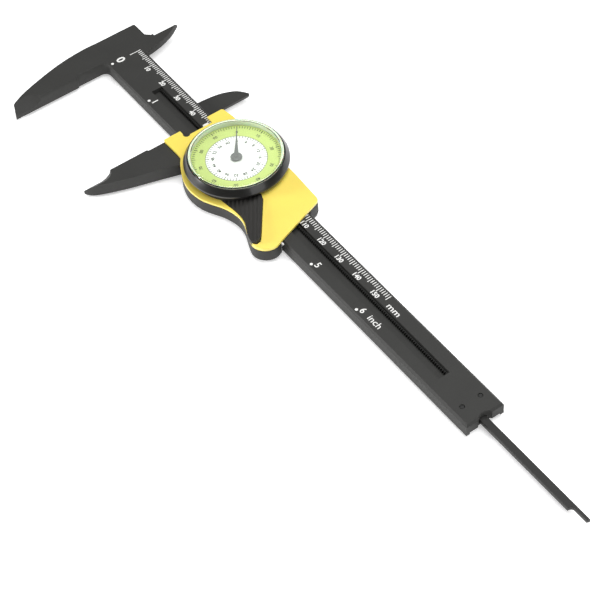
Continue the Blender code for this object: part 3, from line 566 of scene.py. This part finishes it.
class CALIPER_OT_gib_strip(Operator):
    """White gib with the tab that shows beside the beam's lower edge"""
    bl_idname = "caliper.gib_strip"
    bl_label = "Gib"

    def execute(self, context):
        low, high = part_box("gib")
        tab = 0.55 * MM
        hidden = high.x - 1.6 * MM
        mesh = bmesh.new()
        side = [(low.x, low.z), (hidden, low.z), (hidden, high.z - tab), (high.x, high.z - tab),
                (high.x, high.z), (low.x, high.z)]
        near = [mesh.verts.new((x, low.y, z)) for x, z in side]
        far = [mesh.verts.new((x, high.y, z)) for x, z in side]
        caps = [mesh.faces.new(near), mesh.faces.new(far[::-1])]
        for i in range(len(side)):
            j = (i + 1) % len(side)
            mesh.faces.new((near[j], near[i], far[i], far[j]))
        mesh.normal_update()
        bmesh.ops.triangulate(mesh, faces=caps)
        strip = piece_from("gib_strip", mesh, "slider_body", plastic("white gib", (0.8, 0.8, 0.78), 0.45))
        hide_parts("gib")
        return {"FINISHED"}


class CALIPER_OT_metal_finish(Operator):
    """Finish of the movement, the screws, the pins, the rivets and the painted pointer shaft"""
    bl_idname = "caliper.metal_finish"
    bl_label = "Metal finish"

    def execute(self, context):
        brass = metal("brass", (0.72, 0.52, 0.2), 0.3)
        steel = metal("steel", (0.5, 0.51, 0.52), 0.32)
        dark = metal("blackened steel", (0.05, 0.05, 0.05), 0.5)
        for node in ("movement_plate", "pointer_bush", "pinion_bush", "pointer_gear", "transfer_gear"):
            dress(node, brass)
        for node in ("rack_pinion", "bezel_spring", "rod_pin_1", "rod_pin_2", "cover_screw_1",
                     "cover_screw_2", "cover_screw_3", "cover_screw_4"):
            dress(node, steel)
        for node in ("end_rivet_1", "end_rivet_2"):
            dress(node, dark)
        paint = settings(context)[1].pointer_colour
        dress("pointer_shaft", plastic("painted shaft", paint, 0.4, variation=0.04, bump=0.02))
        return {"FINISHED"}


class CALIPER_OT_millimetre_scale(Operator):
    """Millimetre graduations and numbers on the beam"""
    bl_idname = "caliper.millimetre_scale"
    bl_label = "Millimetre scale"

    def execute(self, context):
        scale = settings(context)[0]
        low = BEAM_TOP + PRINT_GAP
        high = low + PRINT_THICKNESS
        ink = plastic("white ink", scale.ink, 0.55, variation=0.03, bump=0.03)
        mesh = bmesh.new()
        for mark in range(scale.range_mm + 1):
            length = scale.tick_length
            if mark % 5 == 0:
                length = scale.five_length
            if mark % 10 == 0:
                length = scale.ten_length
            if mark == 0:
                length = scale.zero_length
            top = on_beam(mark, 0) + Vector((0, scale.tick_top, 0))
            add_bar(mesh, top - Vector((0, length, 0)), top, scale.tick_width, low, high)
        for number in range(10, scale.range_mm + 1, 10):
            middle = number + 0.35 + 0.2 * len(str(number))
            add_text(mesh, str(number), scale.digit_height, on_beam(middle, 2.85), 0, low, high, 0.03, 1.05)
        add_text(mesh, "mm", 1.55 * MM, on_beam(160.35, 3.15), 0, low, high, 0.008, 1.25)
        piece_from("millimetre_scale", mesh, "beam_body", ink)
        return {"FINISHED"}


class CALIPER_OT_inch_scale(Operator):
    """Inch dots and numbers on the beam"""
    bl_idname = "caliper.inch_scale"
    bl_label = "Inch scale"

    def execute(self, context):
        scale = settings(context)[0]
        low = BEAM_TOP + PRINT_GAP
        high = low + PRINT_THICKNESS
        ink = plastic("white ink", scale.ink, 0.55, variation=0.03, bump=0.03)
        mesh = bmesh.new()
        for inch in range(7):
            x = 25.4 * inch
            add_disc(mesh, on_beam(x, -6.0), scale.dot_radius, low, high)
            if inch:
                add_text(mesh, str(inch), scale.inch_digit_height, on_beam(x + 1.75, -4.5), 0, low, high,
                         0.012)
        add_text(mesh, "0", 3.5 * MM, on_beam(0, -2.3), 0, low, high, 0.025, 1.05)
        add_text(mesh, "inch", 2.45 * MM, on_beam(160.5, -4.45), 0, low, high, 0.004, 1.1)
        piece_from("inch_scale", mesh, "beam_body", ink)
        return {"FINISHED"}


class CALIPER_OT_dial_print(Operator):
    """White disc, graduations and numbers of the dial, on its coloured ring"""
    bl_idname = "caliper.dial_print"
    bl_label = "Dial print"

    def execute(self, context):
        dial = settings(context)[1]
        radius = (DIAL_BOX[1].x - DIAL_BOX[0].x) / 2
        hole = 1.2 * MM
        bottom = DIAL_BOX[0].z
        ring_top = DIAL_TOP - 0.03 * MM
        plate = revolve([(hole, bottom), (radius, bottom), (radius, ring_top), (hole, ring_top)], DIAL_CENTRE)
        ring = plastic("lime ring", dial.ring_colour, 0.45, variation=0.03, bump=0.02)
        plate = piece_from("dial_plate", plate, "bezel_body", ring)
        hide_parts("dial_face")
        white = plastic("white disc", dial.disc_colour, 0.45, variation=0.03, bump=0.02)
        edge = dial.disc_radius
        disc_low = DIAL_TOP - 0.02 * MM
        disc = revolve([(hole, disc_low), (edge, disc_low), (edge, DIAL_TOP), (hole, DIAL_TOP)], DIAL_CENTRE)
        piece_from("dial_disc", disc, "bezel_body", white)
        ink = plastic("dial ink", dial.ink, 0.5, variation=0.03, bump=0.02)
        low = DIAL_TOP + PRINT_GAP
        high = low + PRINT_THICKNESS
        mesh = bmesh.new()
        ring_low = low - 0.02 * MM
        ring_edge = 15.9 * MM
        for k in range(dial.ring_divisions):
            angle = dial.zero_angle - 2 * math.pi * k / dial.ring_divisions
            length = 1.4 * MM if k % 5 == 0 else 1.0 * MM
            width = 0.2 * MM if k % 10 else 0.3 * MM
            add_bar(mesh, polar(ring_edge - length, angle), polar(ring_edge, angle), width, ring_low, high)
        for k in range(10):
            angle = dial.zero_angle - 2 * math.pi * k / 10
            add_text(mesh, str(k * 10), 1.25 * MM, polar(13.1 * MM, angle), angle - math.pi / 2,
                     ring_low, high, 0.01)
        for k in range(dial.disc_divisions):
            angle = dial.zero_angle - 2 * math.pi * k / dial.disc_divisions
            reach = 1.55 * MM if k % 4 == 0 else 1.1 * MM
            width = 0.2 * MM if k % 4 else 0.27 * MM
            add_bar(mesh, polar(edge - reach, angle), polar(edge - 0.2 * MM, angle), width, low, high)
        rim_inner = edge - 0.15 * MM
        rim = revolve([(rim_inner, low), (edge, low), (edge, high), (rim_inner, high)], DIAL_CENTRE, 120)
        join_meshes(mesh, rim)
        for k in range(16):
            angle = dial.zero_angle - 2 * math.pi * k / 16
            add_text(mesh, str(4 * k), 1.3 * MM, polar(8.4 * MM, angle), angle - math.pi / 2, low, high,
                     0.03)
        piece_from("dial_marks", mesh, "bezel_body", ink)
        return {"FINISHED"}


class CALIPER_OT_bezel(Operator):
    """Glossy turning bezel ring"""
    bl_idname = "caliper.bezel"
    bl_label = "Bezel"

    def execute(self, context):
        finish = settings(context)[2]
        low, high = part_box("bezel_ring")
        radius = (high.x - low.x) / 2
        inner = radius - 1.8 * MM
        lift = DIAL_BOX[0].z - 0.1 * MM
        skirt = DIAL_BOX[0].z - 0.4 * MM
        spigot = radius - 4.2 * MM
        spigot_wall = spigot + 0.6 * MM
        profile = rounded_profile([
            (spigot, low.z, 0), (spigot_wall, low.z, 0.1 * MM), (spigot_wall, skirt, 0),
            (radius, skirt, 0.2 * MM), (radius, skirt + 0.7 * MM, 0.4 * MM),
            (inner + 0.35 * MM, high.z, 0.15 * MM), (inner, high.z, 0.08 * MM), (inner, lift, 0),
            (spigot, lift, 0)])
        ring = piece_from("bezel", revolve(profile, DIAL_CENTRE, 200), "bezel_body",
                          plastic("bezel black", finish.bezel, 0.3, 1800.0, 0.05, 0.02, coat=0.35), 40)
        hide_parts("bezel_ring")
        return {"FINISHED"}


class CALIPER_OT_lens(Operator):
    """Clear raised lens over the dial, on its milky skirt"""
    bl_idname = "caliper.lens"
    bl_label = "Lens"

    def execute(self, context):
        low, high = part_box("lens")
        radius = (high.x - low.x) / 2
        inner = radius - 0.75 * MM
        under = high.z - 0.75 * MM
        ceiling = high.z - 0.6 * MM
        profile = rounded_profile([
            (inner, under, 0.1 * MM), (radius, under, 0.05 * MM), (radius, high.z, 0.5 * MM), (0, high.z, 0),
            (0, ceiling, 0), (inner - 0.3 * MM, ceiling, 0)], 6)
        # Both flat faces keep flat normals, or low views turn black near the rim.
        lens = piece_from("dial_lens", revolve(profile, DIAL_CENTRE, 180), "bezel_body", clear_plastic(), 5)
        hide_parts("lens")
        gap = 0.05 * MM
        skirt = rounded_profile([(inner, low.z, 0.05 * MM), (radius, low.z, 0.05 * MM),
                                 (radius, under - gap, 0.05 * MM), (inner, under - gap, 0.05 * MM)], 2)
        # The skirt's green tint is a painted reflection of the lime dial ring; its pale milky tone is its own
        # colour.
        milky = plastic("milky skirt with painted lime reflection", (0.50, 0.55, 0.42), 0.3, variation=0.02, bump=0.0,
                        subsurface=0.3)
        piece_from("lens_skirt", revolve(skirt, DIAL_CENTRE, 180), "bezel_body", milky, 35)
        return {"FINISHED"}


class CALIPER_OT_pointer(Operator):
    """Pointer with its round hub"""
    bl_idname = "caliper.pointer"
    bl_label = "Pointer"

    def execute(self, context):
        dial = settings(context)[1]
        low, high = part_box("pointer")
        mesh = bmesh.new()
        hub = 2.1 * MM
        reach = 14.3 * MM
        tip_half = 0.1 * MM
        neck = math.radians(22)
        sweep = math.radians(316)
        turn = Matrix.Rotation(dial.zero_angle, 2)
        outline = []
        for k in range(41):
            angle = neck + sweep * k / 40
            outline.append(turn @ Vector((hub * math.cos(angle), hub * math.sin(angle))))
        flare = []
        for k in range(1, 13):
            t = k / 12
            half = tip_half + (hub * math.sin(neck) - tip_half) * (1 - t) ** 1.7
            flare.append((hub * math.cos(neck) * (1 - t) + reach * t, half))
        outline += [turn @ Vector((x, -y)) for x, y in flare]
        outline += [turn @ Vector((x, y)) for x, y in reversed(flare)]
        outline = [p + DIAL_CENTRE.xy for p in outline]
        add_plate(mesh, outline, low.z, high.z)
        grey = plastic("pointer grey", dial.pointer_colour, 0.4, variation=0.04, bump=0.02)
        needle = piece_from("pointer_needle", mesh, "pointer_body", grey)
        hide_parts("pointer")
        return {"FINISHED"}


class CALIPER_OT_stage(Operator):
    """Pale floor, soft studio light and the camera"""
    bl_idname = "caliper.stage"
    bl_label = "Stage"

    def execute(self, context):
        stage = settings(context)[3]
        floor_level = min(v.z for v in CAD_BOX) - 0.05 * MM
        mesh = bmesh.new()
        bmesh.ops.create_grid(mesh, x_segments=1, y_segments=1, size=6.0)
        bmesh.ops.translate(mesh, verts=mesh.verts, vec=(0.12, 0, floor_level))
        data = bpy.data.meshes.new("floor")
        mesh.to_mesh(data)
        mesh.free()
        floor = bpy.data.objects.new("floor", data)
        context.scene.collection.objects.link(floor)
        paper = plastic("paper", (0.93, 0.93, 0.93), 0.9, 400.0, 0.004, 0.0)
        glow = paper.node_tree.nodes["Principled BSDF"]
        glow.inputs["Emission Color"].default_value = (1, 1, 1, 1)
        glow.inputs["Emission Strength"].default_value = stage.floor_glow
        data.materials.append(paper)
        context.scene.world = studio_sky(stage.horizon, stage.ambient)
        context.scene.view_settings.view_transform = "Standard"
        for name, place, size, power in (("overhead", (0.25, 0.2, 1.0), 1.3, stage.overhead),
                                         ("right side", (0.95, 0.1, 0.4), 0.5, stage.right_side),
                                         ("left side", (-0.35, -0.75, 0.3), 0.25, stage.left_side)):
            light = bpy.data.lights.new(name, "AREA")
            light.shape = "SQUARE"
            light.size = size
            light.energy = power
            lamp = bpy.data.objects.new(name, light)
            lamp.location = place
            aim = Vector((0.12, 0.02, 0)) - Vector(place)
            lamp.rotation_euler = aim.to_track_quat("-Z", "Y").to_euler()
            context.scene.collection.objects.link(lamp)
        right = Vector((math.cos(stage.azimuth), math.sin(stage.azimuth), 0))
        towards = Vector((math.sin(stage.azimuth), -math.cos(stage.azimuth), 0))
        forward = -towards * math.cos(stage.elevation) - Vector((0, 0, 1)) * math.sin(stage.elevation)
        down = forward.cross(right)
        across = right * math.cos(stage.roll) + down * math.sin(stage.roll)
        up = right * math.sin(stage.roll) - down * math.cos(stage.roll)
        camera = bpy.data.cameras.new("camera")
        camera.lens = stage.lens
        camera.sensor_width = 36.0
        camera.clip_start = 0.01
        eye = bpy.data.objects.new("camera", camera)
        spot = Vector(stage.target) - forward * stage.distance
        eye.matrix_world = Matrix.Translation(spot) @ Matrix((across, up, -forward)).transposed().to_4x4()
        context.scene.collection.objects.link(eye)
        context.scene.camera = eye
        return {"FINISHED"}


OPERATORS = (CALIPER_OT_body_finish, CALIPER_OT_metal_finish, CALIPER_OT_depth_rod, CALIPER_OT_gib_strip,
             CALIPER_OT_millimetre_scale, CALIPER_OT_inch_scale, CALIPER_OT_dial_print, CALIPER_OT_bezel,
             CALIPER_OT_lens, CALIPER_OT_pointer, CALIPER_OT_stage)


class CALIPER_PT_panel(Panel):
    """Sizes, colours and builders of the caliper"""
    bl_idname = "CALIPER_PT_panel"
    bl_label = "Dial caliper"
    bl_space_type = "VIEW_3D"
    bl_region_type = "UI"
    bl_category = "Caliper"

    def draw(self, context):
        for group in settings(context):
            box = self.layout.box()
            for name in group.__annotations__:
                box.prop(group, name)
        for operator in OPERATORS:
            self.layout.operator(operator.bl_idname)


GROUPS = {"caliper_scale": CaliperScaleSettings, "caliper_dial": CaliperDialSettings,
          "caliper_finish": CaliperFinishSettings, "caliper_stage": CaliperStageSettings}
CLASSES = (*GROUPS.values(), *OPERATORS, CALIPER_PT_panel)


def register():
    for cls in CLASSES:
        bpy.utils.register_class(cls)
    for name, group in GROUPS.items():
        setattr(bpy.types.Scene, name, PointerProperty(type=group))


def unregister():
    for name in GROUPS:
        delattr(bpy.types.Scene, name)
    for cls in reversed(CLASSES):
        bpy.utils.unregister_class(cls)


def main():
    register()
    bpy.ops.caliper.body_finish()
    bpy.ops.caliper.metal_finish()
    bpy.ops.caliper.depth_rod()
    bpy.ops.caliper.gib_strip()
    bpy.ops.caliper.millimetre_scale()
    bpy.ops.caliper.inch_scale()
    bpy.ops.caliper.dial_print()
    bpy.ops.caliper.bezel()
    bpy.ops.caliper.lens()
    bpy.ops.caliper.pointer()
    bpy.ops.caliper.stage()


if __name__ == "__main__":
    main()
